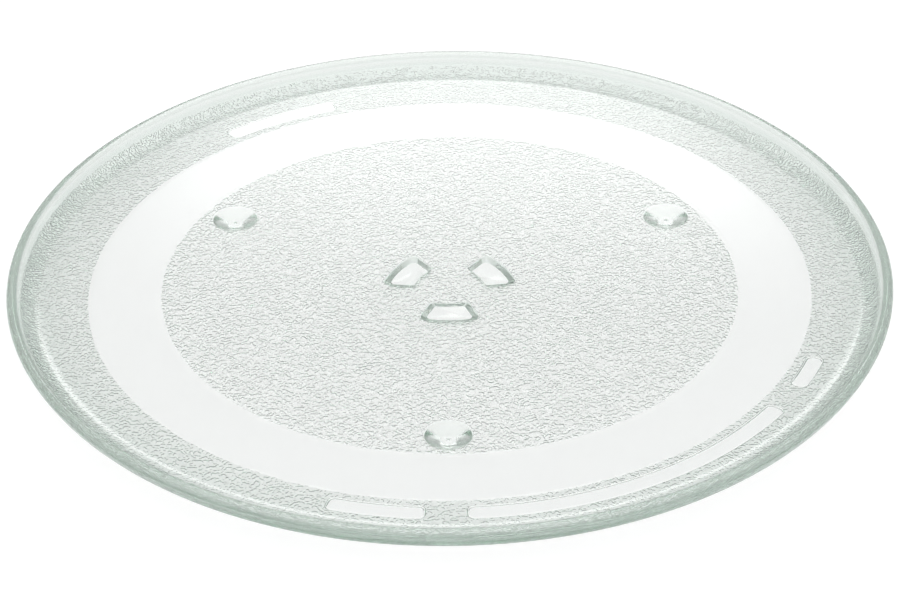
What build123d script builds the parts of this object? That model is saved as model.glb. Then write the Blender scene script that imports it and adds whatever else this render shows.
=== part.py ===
"""Glass turntable plate of a microwave oven, pressed as one piece of clear glass.

A shallow dish: the floor rises in a gentle cove to the foot of a low flared rim with a round lip,
and the outside curves up from the base to that lip. The underside carries a smooth, slightly sunk
track for the roller ring, three conical feet inside that track, and three drafted lugs around the
axis, which the arms of the oven's drive coupling push between.

Millimetres and degrees. +Z is up along the axis of rotation, and Z = 0 is the plane on which the
ends of the feet stand.
"""
from build123d import *

import os
from math import cos, radians, sin, sqrt, tan

# Dish: diameter over the lip, and heights measured from the underside of the base
plate_diameter = 318.0
base_thickness = 5.0
rim_height = 11.2
lip_thickness = 4.0
rim_curve_radius = 12.5

# Inside of the rim: the floor's cove, and the wall that stands on it and leans outwards
cove_width = 8.0
cove_rise = 2.0
wall_lean = 25.0

# Roller track: a smooth band let into the underside
track_inner_diameter = 208.4
track_outer_diameter = 260.0
track_depth = 0.3
track_edge_run = 1.2

# Feet and drive lugs stand on the same evenly spaced spokes
spoke_count = 3
first_spoke_angle = -90.0

# Feet: round stubs that narrow to a small flat end, just inside the track
foot_track_gap = 3.5
foot_height = 5.5
foot_root_diameter = 16.4
foot_end_diameter = 5.6
foot_root_flare = 0.6
foot_edge_break = 0.4

# Drive lugs: bowed trapezoids, narrow side towards the axis, sizes taken at the root
lug_inner_distance = 12.2
lug_outer_distance = 23.0
lug_inner_width = 13.4
lug_outer_width = 21.6
lug_inner_bow = 0.6
lug_outer_bow = 1.6
lug_height = 2.8
lug_draft = 32.0
lug_corner_radius = 2.4
lug_root_flare = 0.6
lug_edge_break = 0.35

# Levels and radii that follow from the sizes above
underside = foot_height
floor_level = underside + base_thickness
lip_radius = lip_thickness / 2
lip_centre = Vector(plate_diameter / 2 - lip_radius, underside + rim_height - lip_radius)
foot_distance = (track_inner_diameter - foot_root_diameter) / 2 - foot_track_gap
spokes = PolarLocations(0, spoke_count, start_angle=first_spoke_angle)


def dish() -> Part:
    """The plate's body of revolution: base, track, outer curve, round lip, wall, cove and floor."""
    # The outer curve is tangent to the underside and, from inside its circle, to the lip
    outer_centre_level = underside + rim_curve_radius
    outer_reach = rim_curve_radius - lip_radius
    outer_run = sqrt(outer_reach**2 - (outer_centre_level - lip_centre.Y) ** 2)
    outer_centre = Vector(lip_centre.X - outer_run, outer_centre_level)
    base_edge = Vector(outer_centre.X, underside)
    outward = (lip_centre - outer_centre).normalized()
    lip_outside = lip_centre + outward * lip_radius

    # The wall is tangent to the lip and runs down to the end of the cove
    inward = Vector(-cos(radians(wall_lean)), sin(radians(wall_lean)))
    lip_inside = lip_centre + inward * lip_radius
    lip_crest = lip_centre + Vector(0, lip_radius)
    wall_foot_level = floor_level + cove_rise
    wall_setback = (lip_inside.Y - wall_foot_level) * tan(radians(wall_lean))
    wall_foot = Vector(lip_inside.X - wall_setback, wall_foot_level)
    floor_edge = Vector(wall_foot.X - cove_width, floor_level)

    track_inner, track_outer = track_inner_diameter / 2, track_outer_diameter / 2
    track_level = underside + track_depth
    bottom = Polyline(
        (0, floor_level),
        (0, underside),
        (track_inner, underside),
        (track_inner + track_edge_run, track_level),
        (track_outer - track_edge_run, track_level),
        (track_outer, underside),
        base_edge,
    )
    outer_curve = TangentArc(base_edge, lip_outside, tangent=(1, 0))
    lip = ThreePointArc(lip_outside, lip_crest, lip_inside)
    wall = Line(lip_inside, wall_foot)
    cove = TangentArc(floor_edge, wall_foot, tangent=(1, 0))
    floor = Line(floor_edge, (0, floor_level))
    section = make_face([bottom, outer_curve, lip, wall, cove, floor])
    return revolve(Plane.XZ * section, Axis.Z)


def foot() -> Part:
    """One foot on the +X spoke, with the edge of its end broken."""
    stub = Cone(
        foot_end_diameter / 2,
        foot_root_diameter / 2,
        foot_height,
        align=(Align.CENTER, Align.CENTER, Align.MIN),
    )
    stub = chamfer(stub.edges().sort_by(Axis.Z)[0], foot_edge_break)
    return Pos(foot_distance, 0, 0) * stub


def lug() -> Part:
    """One drive lug on the +X spoke: its root outline, drawn out downwards with draft."""
    inner_half, outer_half = lug_inner_width / 2, lug_outer_width / 2
    inner_corner = lug_inner_distance - lug_inner_bow
    outer_corner = lug_outer_distance - lug_outer_bow
    inner_side = ThreePointArc(
        (inner_corner, -inner_half), (lug_inner_distance, 0), (inner_corner, inner_half)
    )
    outer_side = ThreePointArc(
        (outer_corner, -outer_half), (lug_outer_distance, 0), (outer_corner, outer_half)
    )
    flanks = [
        Line((inner_corner, side * inner_half), (outer_corner, side * outer_half)) for side in (-1, 1)
    ]
    outline = make_face([inner_side, outer_side, *flanks])
    outline = fillet(outline.vertices(), lug_corner_radius)
    root_plane = Plane(origin=(0, 0, underside), x_dir=(1, 0, 0), z_dir=(0, 0, -1))
    body = extrude(root_plane * outline, lug_height, taper=lug_draft)
    return chamfer(body.faces().sort_by(Axis.Z)[0].edges(), lug_edge_break)


def root_outlines(plate: Part) -> list[Wire]:
    """The outlines in which the lugs and feet meet the underside, those nearest the axis first."""
    ground = max(plate.faces(), key=lambda face: len(face.inner_wires()))
    return sorted(ground.inner_wires(), key=lambda wire: Vector(wire.center().X, wire.center().Y).length)


def turntable_plate() -> Part:
    """The whole plate, with the roots of the lugs and feet flared into the underside."""
    plate = dish()
    for spoke in spokes:
        plate += spoke * lug()
        plate += spoke * foot()
    lug_roots = root_outlines(plate)[:spoke_count]
    plate = plate.chamfer(lug_root_flare, None, [edge for root in lug_roots for edge in root.edges()])
    foot_roots = root_outlines(plate)[spoke_count:]
    return plate.chamfer(foot_root_flare, None, [edge for root in foot_roots for edge in root.edges()])


os.makedirs("parts", exist_ok=True)
export_step(turntable_plate(), "parts/turntable_plate.step")
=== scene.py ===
"""Glass turntable plate of a microwave oven, pressed in one piece, on a pale studio floor.

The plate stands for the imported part's only node. Sizes are in millimetres and degrees unless a name
says otherwise; meshes are in metres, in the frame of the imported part.
"""
import logging
import math
from dataclasses import dataclass, field
from enum import Enum
from typing import Any, Callable

import bmesh
import bpy
from mathutils import Matrix, Quaternion, Vector


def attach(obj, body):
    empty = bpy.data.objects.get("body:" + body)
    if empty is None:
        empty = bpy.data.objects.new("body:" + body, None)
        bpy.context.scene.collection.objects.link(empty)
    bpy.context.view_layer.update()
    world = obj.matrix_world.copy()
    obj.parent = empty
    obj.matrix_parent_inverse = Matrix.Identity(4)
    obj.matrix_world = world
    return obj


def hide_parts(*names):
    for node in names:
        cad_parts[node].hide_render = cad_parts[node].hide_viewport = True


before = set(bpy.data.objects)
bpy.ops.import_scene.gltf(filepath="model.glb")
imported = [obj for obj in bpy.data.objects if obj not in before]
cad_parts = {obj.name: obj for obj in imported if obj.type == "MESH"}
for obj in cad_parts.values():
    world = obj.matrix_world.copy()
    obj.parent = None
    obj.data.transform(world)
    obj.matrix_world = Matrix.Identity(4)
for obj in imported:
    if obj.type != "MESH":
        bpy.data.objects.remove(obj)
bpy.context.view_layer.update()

MM = 0.001
LOG = logging.getLogger("turntable")
Colour = tuple[float, float, float, float]
Point = tuple[float, float]
Step = tuple[float, float]


class Zone(Enum):
    """Pebbled zones of the underside, by inner and outer radius."""

    HUB = (0.0, 104.2)
    SKIRT = (130.0, 150.6)


class Spoke(Enum):
    """Directions, seen from above, on which the lugs and feet stand."""

    FRONT = -90.0
    RIGHT = 30.0
    LEFT = 150.0


class Pick(Enum):
    """Kinds of mesh element that can be selected by place."""

    VERTS = "VERT"
    FACES = "FACE"


class Field:
    """A shader value whose operators add Math nodes."""

    def __init__(self, graph: "Graph", socket: bpy.types.NodeSocket) -> None:
        """Wraps one output socket of a graph."""
        self.graph = graph
        self.socket = socket

    def __add__(self, other: "Field | float") -> "Field":
        """Sum."""
        return self.graph.math("ADD", self, other)

    def __radd__(self, other: float) -> "Field":
        """Sum with a number in front."""
        return self.graph.math("ADD", other, self)

    def __sub__(self, other: "Field | float") -> "Field":
        """Difference."""
        return self.graph.math("SUBTRACT", self, other)

    def __rsub__(self, other: float) -> "Field":
        """Difference from a number."""
        return self.graph.math("SUBTRACT", other, self)

    def __mul__(self, other: "Field | float") -> "Field":
        """Product."""
        return self.graph.math("MULTIPLY", self, other)

    def __rmul__(self, other: float) -> "Field":
        """Product with a number in front."""
        return self.graph.math("MULTIPLY", other, self)

    def __abs__(self) -> "Field":
        """Magnitude."""
        return self.graph.math("ABSOLUTE", self)

    def step(self, low: float, high: float) -> "Field":
        """Smooth step from 0 at low to 1 at high; low may be the larger of the two.

        Args:
            low: value that gives 0.
            high: value that gives 1.

        Returns:
            The eased value.
        """
        ends = {"From Min": low, "From Max": high, "To Min": 0.0, "To Max": 1.0}
        made = self.graph.node(
            "ShaderNodeMapRange", {"interpolation_type": "SMOOTHSTEP"}, {"Value": self, **ends}
        )
        return Field(self.graph, made.outputs["Result"])


class Graph:
    """Node tree of a material or of the world."""

    def __init__(self, tree: bpy.types.NodeTree) -> None:
        """Empties a node tree and takes it over."""
        self.tree = tree
        tree.nodes.clear()

    def node(
        self, kind: str, settings: dict[str, Any] | None = None, sockets: dict[Any, Any] | None = None
    ) -> bpy.types.Node:
        """Adds a node.

        Args:
            kind: the node's type.
            settings: properties, which are set first.
            sockets: values or links of its inputs, by name or number.

        Returns:
            The new node.
        """
        made = self.tree.nodes.new(kind)
        for name, value in (settings or {}).items():
            setattr(made, name, value)
        for name, value in (sockets or {}).items():
            if isinstance(value, Field):
                self.tree.links.new(value.socket, made.inputs[name])
            elif isinstance(value, bpy.types.NodeSocket):
                self.tree.links.new(value, made.inputs[name])
            else:
                made.inputs[name].default_value = value
        return made

    def math(self, operation: str, *terms: "Field | float") -> Field:
        """Adds a Math node on values.

        Args:
            operation: the node's operation.
            terms: its inputs in order.

        Returns:
            The node's value.
        """
        made = self.node("ShaderNodeMath", {"operation": operation}, dict(enumerate(terms)))
        return Field(self, made.outputs[0])

    def place(self, output: str) -> tuple[bpy.types.NodeSocket, Field, Field, Field]:
        """Reads the coordinates of the shaded point.

        Args:
            output: which of the Texture Coordinate node's outputs.

        Returns:
            The vector socket and its three parts.
        """
        spot = self.node("ShaderNodeTexCoord").outputs[output]
        parts = self.node("ShaderNodeSeparateXYZ", None, {"Vector": spot}).outputs
        return spot, Field(self, parts["X"]), Field(self, parts["Y"]), Field(self, parts["Z"])

    def noise(self, spot: bpy.types.NodeSocket, scale: float, detail: float) -> Field:
        """Adds a noise texture.

        Args:
            spot: coordinates it is read at.
            scale: cells in a metre.
            detail: octaves above the first.

        Returns:
            The noise, about 0.5 on average.
        """
        made = self.node("ShaderNodeTexNoise", None, {"Vector": spot, "Scale": scale, "Detail": detail})
        return Field(self, made.outputs[0])

    def blend(self, share: Field, first: Any, second: Colour) -> bpy.types.NodeSocket:
        """Blends one colour into another.

        Args:
            share: how much of the second colour shows.
            first: a colour or a socket that gives one.
            second: the colour that is blended in.

        Returns:
            The socket of the blended colour.
        """
        made = self.node("ShaderNodeMix", {"data_type": "RGBA"}, {0: share, 6: first, 7: second})
        return made.outputs[2]


@dataclass(frozen=True)
class Surface:
    """How one zone of the glass looks.

    Haze belongs to the glass; some tints are painted shade, darker where less light comes through. The veil
    is the share of light that a ground skin scatters instead of letting it through, and ground is the colour
    of that skin.
    """

    tint: Colour
    haze: float
    veil: float = 0.0
    ground: Colour = (0.9, 0.9, 0.9, 1.0)


@dataclass(frozen=True)
class PressedGlass:
    """Clear soda-lime glass with a faint green cast, pebbled below and finely ground outside.

    A Step is the soft edge of a zone: the zone is empty at its first value and full at its second.
    """

    name: str = "pressed_glass"
    refraction: float = 1.52
    cast: Colour = (0.80, 0.90, 0.84, 1.0)
    cast_density: float = 22.0

    # The grey tint here and on the lip is painted shade: it dims what is seen through the plate, for the
    # shadow the glowing floor does not get.
    polished: Surface = Surface((0.955, 0.957, 0.956, 1.0), 0.0)
    hub: Surface = Surface((0.91, 0.918, 0.912, 1.0), 0.27)
    # Its tint, darker than the hub's, is painted shade near the rim; its haze is the pebbles' own.
    skirt: Surface = Surface((0.78, 0.81, 0.79, 1.0), 0.34)
    outside: Surface = Surface((0.75, 0.80, 0.77, 1.0), 0.2, 0.05, (0.63, 0.78, 0.69, 1.0))
    # Painted shade: a dark green-grey tint under the rim, deepening outwards from radius 132 to 154.5.
    painted_rim_shade: Surface = Surface((0.62, 0.69, 0.65, 1.0), 0.0)
    lip: Surface = Surface((0.955, 0.957, 0.956, 1.0), 0.1, 0.25, (0.84, 0.90, 0.86, 1.0))
    lug_side: Surface = Surface((0.85, 0.90, 0.87, 1.0), 0.3, 0.2, (0.63, 0.78, 0.69, 1.0))
    foot_side: Surface = Surface((0.94, 0.97, 0.95, 1.0), 0.18)
    coat_haze: float = 0.05

    grain_cells: float = 600.0
    grain_depth: float = 0.145
    fine_cells: float = 850.0
    fine_depth: float = 0.24
    grain_detail: float = 0.5
    grain_middle: float = 0.5
    grain_width: float = 0.2
    grain_mean: float = 0.5

    under_start: Step = (5.472, 5.482)
    under_end: Step = (6.5, 6.45)
    zone_fade: float = 0.6
    skirt_fade: float = 3.0
    curve_centre: Point = (147.03, 18.0)
    curve_skin: Step = (12.2, 12.25)
    curve_start: Step = (147.6, 148.2)
    fine_start: Step = (147.6, 149.5)
    fine_end: Step = (157.4, 156.0)
    outside_start: Step = (148.0, 154.5)
    outside_top: Step = (15.3, 14.6)
    painted_rim_shade_start: Step = (132.0, 154.5)
    # Soft edges of the painted rim shade.
    painted_rim_shade_end: Step = (158.4, 157.4)
    lip_levels: Step = (14.9, 15.7)
    lip_start: Step = (153.5, 155.0)
    proud_levels: Step = (5.45, 5.40)
    lug_start: Step = (10.5, 12.5)
    lug_end: Step = (30.0, 29.0)
    lug_face: Step = (2.73, 2.8)
    foot_start: Step = (82.0, 83.0)
    foot_end: Step = (103.0, 102.0)
    foot_face: Step = (0.05, 0.15)

    def zones(self, graph: Graph, radius: Field, level: Field) -> dict[str, Field]:
        """Works out where the zones of the glass lie.

        Args:
            graph: the material's nodes.
            radius: distance from the axis.
            level: height above the ends of the feet.

        Returns:
            The share of each surface by its name, and under "fine" that of the finely ground skin.
        """
        hub_edge, (skirt_start, skirt_end) = Zone.HUB.value[1], Zone.SKIRT.value
        across, above = radius - self.curve_centre[0], level - self.curve_centre[1]
        reach = graph.math("SQRT", across * across + above * above)
        curve = reach.step(*self.curve_skin) * radius.step(*self.curve_start)
        under = level.step(*self.under_start) * level.step(*self.under_end)
        below = under * radius.step(*reversed(self.curve_start)) + curve
        pebbled = radius.step(skirt_start, skirt_start + self.zone_fade)
        pebbled = pebbled * radius.step(skirt_end, skirt_end - self.skirt_fade)
        proud = level.step(*self.proud_levels)
        at_lugs = proud * radius.step(*self.lug_start) * radius.step(*self.lug_end)
        at_feet = proud * radius.step(*self.foot_start) * radius.step(*self.foot_end)
        return {
            "hub": radius.step(hub_edge, hub_edge - self.zone_fade) * under,
            "skirt": pebbled * below,
            "outside": curve * radius.step(*self.outside_start) * level.step(*self.outside_top),
            # Painted shade under the rim, on the underside and the outer curve, darker outwards.
            "painted_rim_shade": below * radius.step(*self.painted_rim_shade_start) * radius.step(*self.painted_rim_shade_end),
            "lip": level.step(*self.lip_levels) * radius.step(*self.lip_start),
            "lug_side": at_lugs * level.step(*self.lug_face),
            "foot_side": at_feet * level.step(*self.foot_face),
            "fine": curve * radius.step(*self.fine_start) * radius.step(*self.fine_end),
        }

    def grain(self, graph: Graph, spot: bpy.types.NodeSocket, zones: dict[str, Field]) -> bpy.types.Node:
        """Adds the grain that is finer than the mesh.

        Args:
            graph: the material's nodes.
            spot: coordinates it is read at.
            zones: the share of each zone.

        Returns:
            The Bump node.
        """

        def ridges(cells: float) -> Field:
            """Ridged noise about its mean, by its cells in a metre."""
            off_middle = abs(graph.noise(spot, cells, self.grain_detail) - self.grain_middle)
            return off_middle.step(0.0, self.grain_width) - self.grain_mean

        coarse = ridges(self.grain_cells) * (zones["hub"] + zones["skirt"]) * (self.grain_depth * MM)
        fine = ridges(self.fine_cells) * zones["fine"] * (self.fine_depth * MM)
        return graph.node("ShaderNodeBump", None, {"Strength": 1.0, "Distance": 1.0, "Height": coarse + fine})

    def material(self) -> bpy.types.Material:
        """Makes the material.

        Returns:
            A Principled glass with absorption, and with grain, haze, tint and veil by zone.
        """
        made = bpy.data.materials.new(self.name)
        made.use_nodes = True
        graph = Graph(made.node_tree)
        spot, x, y, z = graph.place("Object")
        zones = self.zones(graph, graph.math("SQRT", x * x + y * y) * (1.0 / MM), z * (1.0 / MM))

        tint: Any = self.polished.tint
        haze: Any = self.polished.haze
        veil: Any = self.polished.veil
        ground: Any = self.outside.ground
        looks = {
            "hub": self.hub,
            "skirt": self.skirt,
            "outside": self.outside,
            "painted_rim_shade": self.painted_rim_shade,
            "lip": self.lip,
            "lug_side": self.lug_side,
            "foot_side": self.foot_side,
        }
        # The tints blended here include painted shade: the polished grey, the skirt's darker tint and the rim
        # shade.
        for name, look in looks.items():
            share = zones[name]
            tint = graph.blend(share, tint, look.tint)
            haze = share * look.haze + haze
            if look.veil:
                veil = share * look.veil + veil
                ground = graph.blend(share, ground, look.ground)

        glass = graph.node(
            "ShaderNodeBsdfPrincipled",
            None,
            {
                "Base Color": tint,
                "Roughness": haze,
                "IOR": self.refraction,
                "Transmission Weight": 1.0,
                "Normal": self.grain(graph, spot, zones).outputs["Normal"],
            },
        )
        frost = graph.node(
            "ShaderNodeBsdfPrincipled",
            None,
            {
                "Base Color": ground,
                "Roughness": 1.0,
                "Specular IOR Level": 0.0,
                "Coat Weight": zones["lip"],
                "Coat Roughness": self.coat_haze,
            },
        )
        skin = graph.node("ShaderNodeMixShader", None, {0: veil, 1: glass.outputs[0], 2: frost.outputs[0]})
        depth = graph.node(
            "ShaderNodeVolumeAbsorption", None, {"Color": self.cast, "Density": self.cast_density}
        )
        graph.node(
            "ShaderNodeOutputMaterial", None, {"Surface": skin.outputs[0], "Volume": depth.outputs[0]}
        )
        return made


@dataclass(frozen=True)
class StudioFloor:
    """Matt white floor that glows by itself, so that it stays pale under the glass."""

    name: str = "studio_floor"
    white: float = 0.25
    mottle: float = 0.985
    mottle_cells: float = 14.0
    mottle_detail: float = 3.0
    roughness: float = 0.9
    glow: float = 0.84

    def material(self) -> bpy.types.Material:
        """Makes the material.

        Returns:
            A matt white with a faint mottle and a constant glow, see-through from below.
        """
        made = bpy.data.materials.new(self.name)
        made.use_nodes = True
        graph = Graph(made.node_tree)
        spot, _, _, _ = graph.place("Object")
        mottle = graph.noise(spot, self.mottle_cells, self.mottle_detail)
        plain, shaded = self.white, self.white * self.mottle
        matt = graph.node(
            "ShaderNodeBsdfPrincipled",
            None,
            {
                "Base Color": graph.blend(mottle, (plain, plain, plain, 1.0), (shaded, shaded, shaded, 1.0)),
                "Roughness": self.roughness,
                "Specular IOR Level": 0.0,
                "Emission Color": (1.0, 1.0, 1.0, 1.0),
                "Emission Strength": self.glow,
            },
        )
        from_below = graph.node("ShaderNodeNewGeometry").outputs["Backfacing"]
        clear = graph.node("ShaderNodeBsdfTransparent")
        sheet = graph.node(
            "ShaderNodeMixShader", None, {0: from_below, 1: matt.outputs[0], 2: clear.outputs[0]}
        )
        graph.node("ShaderNodeOutputMaterial", None, {"Surface": sheet.outputs[0]})
        made.cycles.emission_sampling = "NONE"
        return made


class Bench:
    """The modelling steps that the pieces share, each made of Blender's own operators."""

    DOWNWARDS: float = -0.9
    BEND_STEPS: int = 4
    CORNER_STEPS: int = 6

    @staticmethod
    def clear() -> None:
        """Leaves nothing selected."""
        bpy.ops.object.select_all(action="DESELECT")

    @staticmethod
    def choose(part: bpy.types.Object) -> None:
        """Makes one object the active one.

        Args:
            part: the object; nothing else stays selected.
        """
        Bench.clear()
        part.select_set(True)
        bpy.context.view_layer.objects.active = part

    @staticmethod
    def edit(part: bpy.types.Object) -> None:
        """Opens one object for editing.

        Args:
            part: the object; nothing else stays selected.
        """
        Bench.choose(part)
        bpy.ops.object.mode_set(mode="EDIT")

    @staticmethod
    def close() -> None:
        """Goes back to object mode."""
        bpy.ops.object.mode_set(mode="OBJECT")

    @staticmethod
    def pick(part: bpy.types.Object, kind: Pick, test: Callable[[Any], bool]) -> None:
        """Selects the elements of the open mesh that pass a test, and nothing else.

        Args:
            part: the object that is open for editing.
            kind: which elements to test.
            test: what an element must fulfil.
        """
        bpy.ops.mesh.select_mode(type=kind.value)
        bpy.ops.mesh.select_all(action="DESELECT")
        mesh = bmesh.from_edit_mesh(part.data)
        for item in mesh.verts if kind is Pick.VERTS else mesh.faces:
            if test(item):
                item.select_set(True)
        mesh.select_flush_mode()
        bmesh.update_edit_mesh(part.data)

    @staticmethod
    def chain(name: str, spots: list[Vector]) -> bpy.types.Object:
        """Draws a line of edges by extruding one vertex from spot to spot, and leaves it open for editing.

        Args:
            name: the object's name.
            spots: places in metres.

        Returns:
            The object, open, with its last vertex selected.
        """
        Bench.clear()
        bpy.ops.mesh.primitive_plane_add(size=MM)
        part = bpy.context.active_object
        part.name = name
        Bench.edit(part)
        bpy.ops.mesh.select_mode(type="VERT")
        bpy.ops.mesh.select_all(action="SELECT")
        bpy.ops.mesh.merge(type="CENTER")
        bpy.ops.transform.translate(value=spots[0])
        for here, there in zip(spots, spots[1:]):
            bpy.ops.mesh.extrude_vertices_move(TRANSFORM_OT_translate={"value": there - here})
        return part

    @staticmethod
    def plug(name: str, outline: list[Point], top: float, level: float) -> bpy.types.Object:
        """Draws an outline, fills it and pulls it down into a closed plug.

        Args:
            name: the object's name.
            outline: the outline's corners, counter-clockwise from above.
            top: the plug's upper level.
            level: its lower level.

        Returns:
            The object, open for editing, with its lower face selected.
        """
        part = Bench.chain(name, [Vector((x, y, top)) * MM for x, y in outline])
        bpy.ops.mesh.select_all(action="SELECT")
        bpy.ops.mesh.edge_face_add()
        bpy.ops.mesh.extrude_region_move(TRANSFORM_OT_translate={"value": (0.0, 0.0, (level - top) * MM)})
        bpy.ops.mesh.select_all(action="SELECT")
        bpy.ops.mesh.normals_make_consistent(inside=False)
        Bench.pick(part, Pick.FACES, lambda face: face.normal.z < Bench.DOWNWARDS)
        return part

    @staticmethod
    def carve(steps: list[Step]) -> None:
        """Insets the selected face step by step.

        Args:
            steps: how far in and how far out along the face's normal, for each step.
        """
        for inward, outward in steps:
            bpy.ops.mesh.inset(thickness=inward * MM, depth=outward * MM, use_even_offset=True)

    @staticmethod
    def draw_down(steps: list[Step], centre: Point, end_share: float) -> None:
        """Draws the selected face downwards and narrows it step by step.

        Args:
            steps: how far in and how far down, for each step; only the ratio of the first parts counts.
            centre: place that the face narrows towards.
            end_share: size at the end as a share of the size at the start.
        """
        whole = sum(inward for inward, _ in steps)
        done, size = 0.0, 1.0
        for inward, down in steps:
            done += inward
            share = 1.0 - (1.0 - end_share) * done / whole
            bpy.ops.mesh.extrude_region_move(TRANSFORM_OT_translate={"value": (0.0, 0.0, -down * MM)})
            bpy.ops.transform.resize(
                value=(share / size, share / size, 1.0), center_override=(centre[0] * MM, centre[1] * MM, 0.0)
            )
            size = share

    @staticmethod
    def around(part: bpy.types.Object, angles: list[float]) -> list[bpy.types.Object]:
        """Copies a piece that is modelled on the +X side to directions around the axis.

        Args:
            part: the piece; it becomes the copy in the first direction.
            angles: directions in degrees.

        Returns:
            One object for each direction, with its turn applied.
        """
        made = [part]
        for _ in angles[1:]:
            Bench.choose(part)
            bpy.ops.object.duplicate(linked=False)
            made.append(bpy.context.active_object)
        for copy, angle in zip(made, angles):
            Bench.choose(copy)
            copy.rotation_euler = (0.0, 0.0, math.radians(angle))
            bpy.ops.object.transform_apply(location=True, rotation=True, scale=True)
        return made

    @staticmethod
    def bend(radius: float, start: float, end: float) -> list[Step]:
        """Steps along an arc from one steepness to another.

        Args:
            radius: the arc's radius.
            start: steepness at its start, in degrees from the face.
            end: steepness at its end.

        Returns:
            The inward and outward part of each step.
        """
        count = Bench.BEND_STEPS
        turns = [math.radians(start + (end - start) * k / count) for k in range(count + 1)]
        return [
            (radius * abs(math.sin(b) - math.sin(a)), radius * abs(math.cos(a) - math.cos(b)))
            for a, b in zip(turns, turns[1:])
        ]

    @staticmethod
    def drafted(height: float, steep: float, flare: float, edge: float) -> list[Step]:
        """Steps down a drafted side: its flared root, its wall and its rounded edge.

        Args:
            height: how far the side reaches in all.
            steep: the wall's steepness, in degrees from the face.
            flare: how far the root spreads.
            edge: radius of the edge at the end.

        Returns:
            The inward and outward part of each step.
        """
        root = Bench.bend(flare / math.tan(math.radians(steep / 2)), 0.0, steep)
        end = Bench.bend(edge, steep, 0.0)
        wall = height - sum(out for _, out in [*root, *end])
        return [*root, (wall / math.tan(math.radians(steep)), wall), *end]


@dataclass
class PlateBody:
    """The dish: base with its roller track, outer curve, round lip, flared wall, cove and floor."""

    segments: int = 800
    underside: float = 5.5
    floor_level: float = 10.5
    track_level: float = 5.66
    edge_level: float = 5.62
    track_inner: float = 104.2
    track_outer: float = 130.0
    track_slope: float = 1.2
    track_border: float = 0.8
    outer_radius: float = 159.0
    top_level: float = 16.7
    lip_radius: float = 2.0
    curve_radius: float = 12.5
    cove_width: float = 8.0
    cove_rise: float = 2.0
    wall_lean: float = 25.0
    crease: float = 0.55
    floor_border: float = 1.2
    pebble_pitch: float = 0.95
    pebble_depth: float = 0.22
    pebble_size: float = 1.7
    pebble_fade: float = 0.6
    pebble_ceiling: float = 6.2
    pebbled_steps: int = 4
    curve_steps: int = 9
    lip_steps: int = 14
    crease_steps: int = 4
    cove_steps: int = 5
    grid_sides: int = 4
    tolerance: float = 0.01
    slack: float = 0.05

    def section(self) -> list[Point]:
        """Works out the half section.

        Returns:
            Radius and level of its points, from the track's inner edge outwards and over the rim to
            the floor.
        """
        lip = Vector((self.outer_radius - self.lip_radius, self.top_level - self.lip_radius))
        reach = self.curve_radius - self.lip_radius
        centre_level = self.underside + self.curve_radius
        base_edge = lip.x - math.sqrt(reach**2 - (centre_level - lip.y) ** 2)
        steepest = math.degrees(math.atan2(lip.x - base_edge, centre_level - lip.y))

        inner, outer = self.track_inner, self.track_outer
        slope, border = self.track_slope, self.track_border
        points = [
            (inner, self.edge_level),
            (inner + slope, self.track_level),
            (inner + slope + border, self.track_level),
            (outer - slope - border, self.track_level),
            (outer - slope, self.track_level),
            (outer, self.edge_level),
        ]
        rows = round((base_edge - outer) / self.pebble_pitch)
        points += [(outer + (base_edge - outer) * k / rows, self.underside) for k in range(1, rows + 1)]

        pebbled_end = math.degrees(math.asin((Zone.SKIRT.value[1] - base_edge) / self.curve_radius))
        pebbled, curved, lipped = self.pebbled_steps, self.curve_steps, self.lip_steps
        turns = [pebbled_end * k / pebbled for k in range(1, pebbled + 1)]
        turns += [pebbled_end + (steepest - pebbled_end) * k / curved for k in range(1, curved + 1)]
        for turn in map(math.radians, turns):
            across, below = self.curve_radius * math.sin(turn), self.curve_radius * math.cos(turn)
            points.append((base_edge + across, centre_level - below))
        start, end = steepest - 90.0, 180.0 - self.wall_lean
        for k in range(1, lipped + 1):
            turn = math.radians(start + (end - start) * k / lipped)
            across, above = self.lip_radius * math.cos(turn), self.lip_radius * math.sin(turn)
            points.append((lip.x + across, lip.y + above))

        wall_top = points[-1]
        foot_level = self.floor_level + self.cove_rise
        foot_radius = wall_top[0] - (wall_top[1] - foot_level) * math.tan(math.radians(self.wall_lean))
        cove_radius = (self.cove_width**2 + self.cove_rise**2) / (2 * self.cove_rise)
        floor_edge = foot_radius - self.cove_width
        full_turn = math.asin(self.cove_width / cove_radius)

        def on_cove(turn: float) -> Vector:
            """Point of the cove at a turn in radians from the floor."""
            across, above = cove_radius * math.sin(turn), cove_radius * (1 - math.cos(turn))
            return Vector((floor_edge + across, self.floor_level + above))

        foot = Vector((foot_radius, foot_level))
        upper = foot + (Vector(wall_top) - foot).normalized() * self.crease
        lower_turn = full_turn - self.crease / cove_radius
        lower = on_cove(lower_turn)
        for k in range(self.crease_steps + 1):
            t = k / self.crease_steps
            points.append(tuple(upper * (1 - t) ** 2 + foot * (2 * t * (1 - t)) + lower * t**2))
        coved = self.cove_steps
        points += [tuple(on_cove(lower_turn * (coved - k) / coved)) for k in range(1, coved + 1)]
        points.append((floor_edge - self.floor_border, self.floor_level))
        return points

    def build(self) -> bpy.types.Object:
        """Spins the section, closes the underside with an even grid and the floor with one face.

        Returns:
            The closed body.
        """
        spots = [Vector((radius, 0.0, level)) * MM for radius, level in self.section()]
        body = Bench.chain("turntable_glass", spots)
        bpy.ops.mesh.select_all(action="SELECT")
        bpy.ops.mesh.spin(steps=self.segments, angle=math.tau, center=(0, 0, 0), axis=(0, 0, 1))
        bpy.ops.mesh.select_all(action="SELECT")
        bpy.ops.mesh.remove_doubles(threshold=self.tolerance * MM)

        hub_edge, floor_edge = spots[0].x, spots[-1].x
        hub_level, floor_level = self.edge_level + self.tolerance, self.floor_level - self.slack

        def on_circle(vertex: bmesh.types.BMVert, radius: float) -> bool:
            """Whether a vertex lies on a circle about the axis."""
            return abs(vertex.co.xy.length - radius) < self.slack * MM

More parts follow.
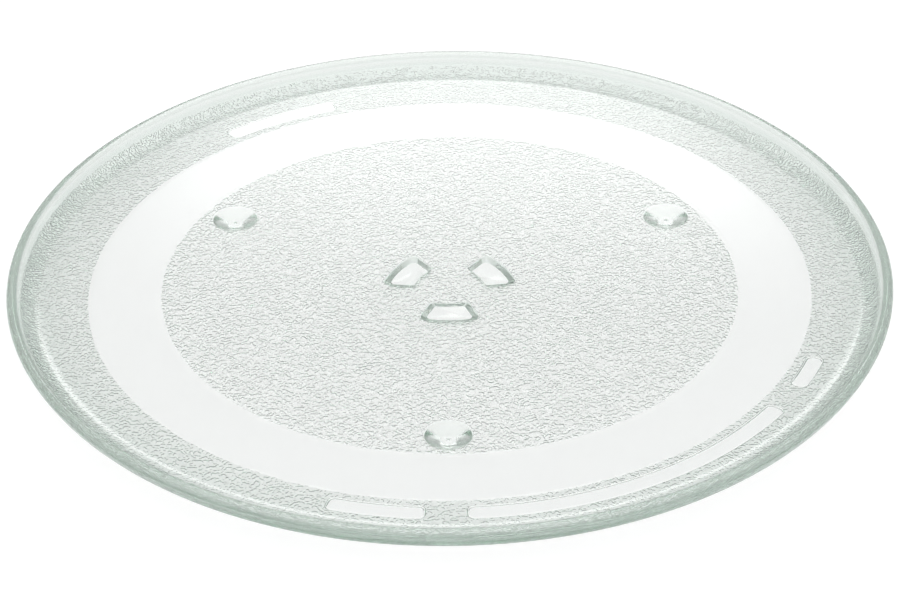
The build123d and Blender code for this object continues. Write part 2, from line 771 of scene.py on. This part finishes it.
        Bench.pick(body, Pick.VERTS, lambda v: on_circle(v, hub_edge) and v.co.z < hub_level * MM)
        bpy.ops.mesh.fill_grid(span=self.segments // self.grid_sides, offset=0)
        Bench.pick(body, Pick.VERTS, lambda v: on_circle(v, floor_edge) and v.co.z > floor_level * MM)
        bpy.ops.mesh.edge_face_add()
        bpy.ops.mesh.select_all(action="SELECT")
        bpy.ops.mesh.normals_make_consistent(inside=False)
        Bench.close()
        return body

    def pebble(self, body: bpy.types.Object) -> None:
        """Presses the grain into the pebbled zones, upwards from the level of its crests.

        Args:
            body: the closed body.
        """
        share = body.vertex_groups.new(name="pebbled")
        for vertex in body.data.vertices:
            radius, level = vertex.co.xy.length / MM, vertex.co.z / MM
            if level > self.pebble_ceiling:
                continue
            weight = 0.0
            for low, high in (zone.value for zone in Zone):
                inside = min(radius - low if low else math.inf, high - radius)
                weight = max(weight, min(1.0, max(0.0, inside / self.pebble_fade)))
            if weight > 0.0:
                share.add([vertex.index], weight, "REPLACE")
        grain = bpy.data.textures.new("pebble_grain", "CLOUDS")
        grain.noise_scale = self.pebble_size * MM
        grain.noise_depth = 1
        grain.noise_type = "HARD_NOISE"
        press = body.modifiers.new("pebble", "DISPLACE")
        press.texture = grain
        press.texture_coords = "LOCAL"
        press.direction = "Z"
        press.vertex_group = share.name
        press.mid_level = 0.0
        press.strength = self.pebble_depth * MM
        Bench.choose(body)
        bpy.ops.object.modifier_apply(modifier=press.name)
        body.vertex_groups.clear()


@dataclass
class DriveLugs:
    """Three drafted, bowed lugs around the axis, between which the drive coupling's arms lie."""

    inner: float = 12.2
    outer: float = 23.0
    inner_width: float = 13.4
    outer_width: float = 21.6
    inner_bow: float = 0.6
    outer_bow: float = 1.6
    height: float = 2.8
    draft: float = 32.0
    end_share: float = 0.72
    end_centre: float = 14.5
    corner: float = 1.0
    flare: float = 0.6
    edge: float = 0.4
    underside: float = 5.5
    root_depth: float = 1.0
    outline_pitch: float = 1.3

    def outline(self) -> list[Point]:
        """Root outline on the +X spoke, widened by the flare.

        Returns:
            Its corners, counter-clockwise from above.
        """
        near, far = self.inner - self.inner_bow, self.outer - self.outer_bow
        lean = math.atan2((self.outer_width - self.inner_width) / 2, far - near)

        def flank(x: float) -> float:
            """Half width of the widened outline at a distance from the axis."""
            return self.inner_width / 2 + (x - near) * math.tan(lean) + self.flare / math.cos(lean)

        low, high = near - self.flare, far + self.flare
        rim = [(low, -1), (high, -1), (high, 1), (low, 1)]
        corners = [Vector((x, side * flank(x))) for x, side in rim]
        radius = self.corner + self.flare
        plain: list[Vector] = []
        for before, here, after in zip(corners[-1:] + corners[:-1], corners, corners[1:] + corners[:1]):
            back, ahead = (before - here).normalized(), (after - here).normalized()
            half = back.angle(ahead) / 2
            centre = here + (back + ahead).normalized() * (radius / math.sin(half))
            start, end = here + back * (radius / math.tan(half)), here + ahead * (radius / math.tan(half))
            sweep = (start - centre).angle_signed(end - centre)
            for k in range(Bench.CORNER_STEPS + 1):
                turn = Matrix.Rotation(-sweep * k / Bench.CORNER_STEPS, 2)
                plain.append(centre + turn @ (start - centre))
        dense: list[Vector] = []
        for here, after in zip(plain, plain[1:] + plain[:1]):
            pieces = max(1, round((after - here).length / self.outline_pitch))
            dense += [here.lerp(after, k / pieces) for k in range(pieces)]
        bowed = []
        for spot in dense:
            share = (spot.x - low) / (high - low)
            bow = self.inner_bow + (self.outer_bow - self.inner_bow) * share
            bowed.append((spot.x + bow * (1 - (spot.y / flank(spot.x)) ** 2), spot.y))
        return bowed

    def build(self) -> list[bpy.types.Object]:
        """Models one lug and copies it to the spokes.

        Returns:
            The three closed lugs.
        """
        top = self.underside + self.root_depth
        lug = Bench.plug("drive_lug", self.outline(), top, self.underside)
        profile = Bench.drafted(self.height, 90.0 - self.draft, self.flare, self.edge)
        Bench.draw_down(profile, (self.end_centre, 0.0), self.end_share)
        Bench.close()
        return Bench.around(lug, [spoke.value for spoke in Spoke])


@dataclass
class Feet:
    """Three conical feet just inside the roller track, each with a small dimple in its end."""

    distance: float = 92.5
    height: float = 5.5
    root_diameter: float = 16.4
    end_diameter: float = 5.6
    flare: float = 0.6
    edge: float = 0.6
    dimple: float = 0.5
    dimple_depth: float = 0.15
    dimple_slopes: tuple[float, float] = (0.2, 0.25)
    root_depth: float = 1.0
    sides: int = 64

    def build(self) -> list[bpy.types.Object]:
        """Models one foot and copies it to the spokes.

        Returns:
            The three closed feet.
        """
        steep = math.degrees(math.atan2(self.height, (self.root_diameter - self.end_diameter) / 2))
        radius = self.root_diameter / 2 + self.flare
        turns = [math.tau * k / self.sides for k in range(self.sides)]
        circle = [(self.distance + radius * math.cos(t), radius * math.sin(t)) for t in turns]
        foot = Bench.plug("foot", circle, self.height + self.root_depth, self.height)
        cone = Bench.drafted(self.height, steep, self.flare, self.edge)
        flat = radius - sum(inward for inward, _ in cone)
        upper, lower = self.dimple_slopes
        sink = -self.dimple_depth / 2
        dimple = [(flat - self.dimple - upper, 0.0), (upper, sink), (lower, sink)]
        Bench.carve([*cone, *dimple])
        Bench.close()
        return Bench.around(foot, [spoke.value for spoke in Spoke])


@dataclass
class BarePanels:
    """Smooth panels with a fine raised border, in the pebbled skirt outside the roller track."""

    spans: list[tuple[float, float, float, float]] = field(
        default_factory=lambda: [
            (-87.3, -34.4, 133.0, 140.5),
            (-28.5, -20.2, 133.6, 140.2),
            (-107.1, -93.0, 133.0, 140.5),
            (109.4, 128.7, 133.0, 140.5),
        ]
    )
    corner: float = 2.6
    level: float = 5.46
    border_slope: float = 0.28
    border_top: float = 0.2
    border_height: float = 0.3
    border_inside: float = 0.3
    root_depth: float = 1.0
    outline_pitch: float = 2.4

    def outline(self, first: float, last: float, inner: float, outer: float) -> list[Point]:
        """Rounded outline of one panel.

        Args:
            first: direction of its first end.
            last: direction of its last end.
            inner: radius of its inner side.
            outer: radius of its outer side.

        Returns:
            Its corners, counter-clockwise from above.
        """
        middle = (inner + outer) / 2
        half_width = (outer - inner) / 2
        half_length = math.radians(last - first) * middle / 2
        centre = math.radians(first + last) / 2
        flat: list[Point] = []
        corners = [(1, -1, -90.0), (1, 1, 0.0), (-1, 1, 90.0), (-1, -1, 180.0)]
        for side, edge, start in corners:
            hub = (side * (half_length - self.corner), edge * (half_width - self.corner))
            for k in range(Bench.CORNER_STEPS + 1):
                turn = math.radians(start + 90.0 * k / Bench.CORNER_STEPS)
                along, across = self.corner * math.cos(turn), self.corner * math.sin(turn)
                flat.append((hub[0] + along, hub[1] + across))
        dense: list[Point] = []
        for here, after in zip(flat, flat[1:] + flat[:1]):
            pieces = max(1, round(math.dist(here, after) / self.outline_pitch))
            dense += [
                (here[0] + (after[0] - here[0]) * k / pieces, here[1] + (after[1] - here[1]) * k / pieces)
                for k in range(pieces)
            ]
        return [
            ((middle + v) * math.cos(centre + u / middle), (middle + v) * math.sin(centre + u / middle))
            for u, v in dense
        ]

    def build(self) -> list[bpy.types.Object]:
        """Models the panels one by one.

        Returns:
            The closed panels.
        """
        made = []
        for first, last, inner, outer in self.spans:
            outline = self.outline(first, last, inner, outer)[::-1]
            panel = Bench.plug("bare_panel", outline, self.level + self.root_depth, self.level)
            Bench.carve(
                [
                    (self.border_slope, self.border_height),
                    (self.border_top, 0.0),
                    (self.border_slope, -self.border_height),
                    (self.border_inside, 0.0),
                ]
            )
            Bench.close()
            made.append(panel)
        return made


@dataclass
class Turntable:
    """The whole plate: the dish with its lugs, feet and panels united in one piece of glass."""

    body: PlateBody = field(default_factory=PlateBody)
    lugs: DriveLugs = field(default_factory=DriveLugs)
    feet: Feet = field(default_factory=Feet)
    panels: BarePanels = field(default_factory=BarePanels)
    finish: PressedGlass = field(default_factory=PressedGlass)
    smooth_angle: float = 50.0

    def build(self) -> bpy.types.Object:
        """Builds and unites the parts.

        Returns:
            The finished plate.
        """
        plate = self.body.build()
        self.body.pebble(plate)
        reliefs = [*self.lugs.build(), *self.feet.build(), *self.panels.build()]
        Bench.clear()
        for relief in reliefs:
            relief.select_set(True)
        bpy.context.view_layer.objects.active = reliefs[0]
        bpy.ops.object.join()
        relief = bpy.context.active_object
        unite = plate.modifiers.new("unite", "BOOLEAN")
        unite.operation = "UNION"
        unite.solver = "MANIFOLD"
        unite.object = relief
        Bench.choose(plate)
        bpy.ops.object.modifier_apply(modifier=unite.name)
        bpy.data.objects.remove(relief, do_unlink=True)
        bpy.ops.object.shade_smooth_by_angle(angle=math.radians(self.smooth_angle))
        return plate

    def dress(self, plate: bpy.types.Object) -> None:
        """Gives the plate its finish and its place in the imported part.

        Args:
            plate: the finished plate.
        """
        plate.data.materials.clear()
        plate.data.materials.append(self.finish.material())
        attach(plate, "root")
        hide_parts("turntable_plate")


@dataclass
class Studio:
    """Pale floor and soft light."""

    finish: StudioFloor = field(default_factory=StudioFloor)
    floor_size: float = 8.0
    floor_gap: float = 0.3
    floor_cuts: int = 3
    softbox_power: float = 35.0
    softbox_size: float = 3.0
    softbox_height: float = 1.6
    dome: float = 0.5
    horizon: float = 0.18
    dome_rise: Step = (0.0, 0.5)
    back_panel: float = 2.8
    panel_foot: Step = (0.40, 0.47)
    panel_head: Step = (0.56, 0.49)
    panel_side: Step = (0.13, 0.03)
    panel_front: Step = (0.0, 0.3)
    bounces: int = 36
    noise_limit: float = 0.15

    def floor(self) -> bpy.types.Object:
        """Lays the floor just under the feet.

        Returns:
            The floor.
        """
        Bench.clear()
        bpy.ops.mesh.primitive_plane_add(size=self.floor_size)
        floor = bpy.context.active_object
        floor.name = "studio_floor"
        Bench.edit(floor)
        bpy.ops.mesh.select_all(action="SELECT")
        bpy.ops.transform.translate(value=(0.0, 0.0, -self.floor_gap * MM))
        bpy.ops.mesh.subdivide(number_cuts=self.floor_cuts)
        Bench.close()
        floor.data.materials.append(self.finish.material())
        return floor

    def softbox(self) -> bpy.types.Object:
        """Hangs one large soft light above the plate.

        Returns:
            The light.
        """
        Bench.clear()
        bpy.ops.object.light_add(type="AREA", location=(0.0, 0.0, self.softbox_height))
        light = bpy.context.active_object
        light.name = "softbox"
        light.data.energy = self.softbox_power
        light.data.size = self.softbox_size
        light.visible_camera = False
        return light

    def sky(self) -> None:
        """Surrounds the scene with a soft white that fades to the horizon, and a bright panel behind."""
        scene = bpy.context.scene
        scene.world = scene.world or bpy.data.worlds.new("studio")
        scene.world.use_nodes = True
        graph = Graph(scene.world.node_tree)
        _, x, y, z = graph.place("Generated")
        dome = z.step(*self.dome_rise) * (self.dome - self.horizon) + self.horizon
        across = abs(x).step(*self.panel_side) * y.step(*self.panel_front)
        panel = across * z.step(*self.panel_foot) * z.step(*self.panel_head) * self.back_panel
        light = graph.node(
            "ShaderNodeBackground", None, {"Color": (1.0, 1.0, 1.0, 1.0), "Strength": dome + panel}
        )
        graph.node("ShaderNodeOutputWorld", None, {"Surface": light.outputs[0]})
        scene.world.cycles.sampling_method = "NONE"

    def build(self) -> None:
        """Sets up floor, lights and how light is followed through the glass."""
        self.floor()
        self.softbox()
        self.sky()
        scene = bpy.context.scene
        scene.view_settings.view_transform = "Standard"
        scene.cycles.max_bounces = self.bounces
        scene.cycles.transmission_bounces = self.bounces
        scene.cycles.glossy_bounces = self.bounces
        scene.cycles.use_adaptive_sampling = True
        scene.cycles.adaptive_threshold = self.noise_limit


@dataclass
class PhotoCamera:
    """The camera of the photograph, 900 by 600 pixels."""

    focal_pixels: float = 3526.0
    distance: float = 1274.0
    elevation: float = 33.12
    azimuth: float = 0.7
    roll: float = -0.74
    aim_level: float = 8.47
    shift_pixels: tuple[float, float] = (0.3, -15.1)
    width: float = 900.0
    sensor: float = 36.0
    clip: tuple[float, float] = (0.01, 100.0)

    def build(self) -> bpy.types.Object:
        """Places the camera.

        Returns:
            The camera, set as the scene's own.
        """
        lens = bpy.data.cameras.new("photo_camera")
        lens.sensor_width = self.sensor
        lens.lens = self.sensor * self.focal_pixels / self.width
        lens.shift_x, lens.shift_y = (pixels / self.width for pixels in self.shift_pixels)
        lens.clip_start, lens.clip_end = self.clip
        camera = bpy.data.objects.new("photo_camera", lens)
        bpy.context.scene.collection.objects.link(camera)
        rise, turn = math.radians(self.elevation), math.radians(self.azimuth)
        back = Vector((math.sin(turn) * math.cos(rise), -math.cos(turn) * math.cos(rise), math.sin(rise)))
        camera.location = Vector((0.0, 0.0, self.aim_level * MM)) + back * (self.distance * MM)
        camera.rotation_mode = "QUATERNION"
        tilt = Quaternion((0.0, 0.0, 1.0), math.radians(self.roll))
        camera.rotation_quaternion = (-back).to_track_quat("-Z", "Y") @ tilt
        bpy.context.scene.camera = camera
        return camera


def main() -> None:
    """Builds the plate, the studio and the camera, and logs the plate's triangle count."""
    logging.basicConfig(level=logging.INFO, format="%(name)s: %(message)s")
    turntable = Turntable()
    plate = turntable.build()
    turntable.dress(plate)
    plate.data.calc_loop_triangles()
    LOG.info("%s: %d triangles", plate.name, len(plate.data.loop_triangles))
    Studio().build()
    PhotoCamera().build()


if __name__ == "__main__":
    main()
